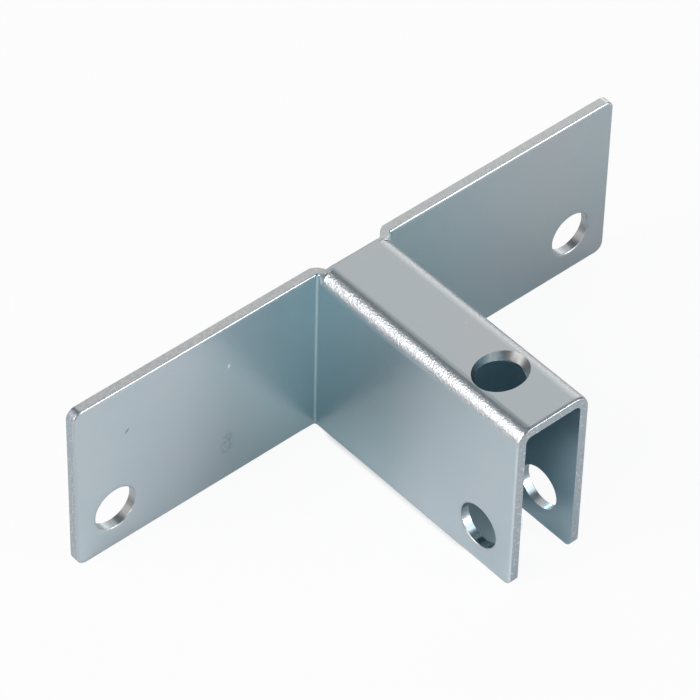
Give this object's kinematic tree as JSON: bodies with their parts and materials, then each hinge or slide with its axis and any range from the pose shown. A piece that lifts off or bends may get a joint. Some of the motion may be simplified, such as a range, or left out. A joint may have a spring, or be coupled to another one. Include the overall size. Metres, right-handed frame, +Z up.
{
  "type": "folded sheet channel bracket with side wings",
  "caption": "Folded zinc-plated steel bracket: a U channel, open below, whose walls turn outwards at the back into flat wings, with bolt holes in web, walls and wings.",
  "frame": {"origin": "midway between the two wing holes, on the flat back face of the wings", "axes": "+X along the wings, -Y along the channel to its open front end, +Y out of the wings' back face, +Z up to the web"},
  "size_m": [0.126, 0.054, 0.0378],
  "materials": {
    "plated_steel": "zinc plated and blue passivated, smooth rolled sheet"
  },
  "bodies": {
    "root": {"bracket": "plated_steel"}
  },
  "joints": []
}
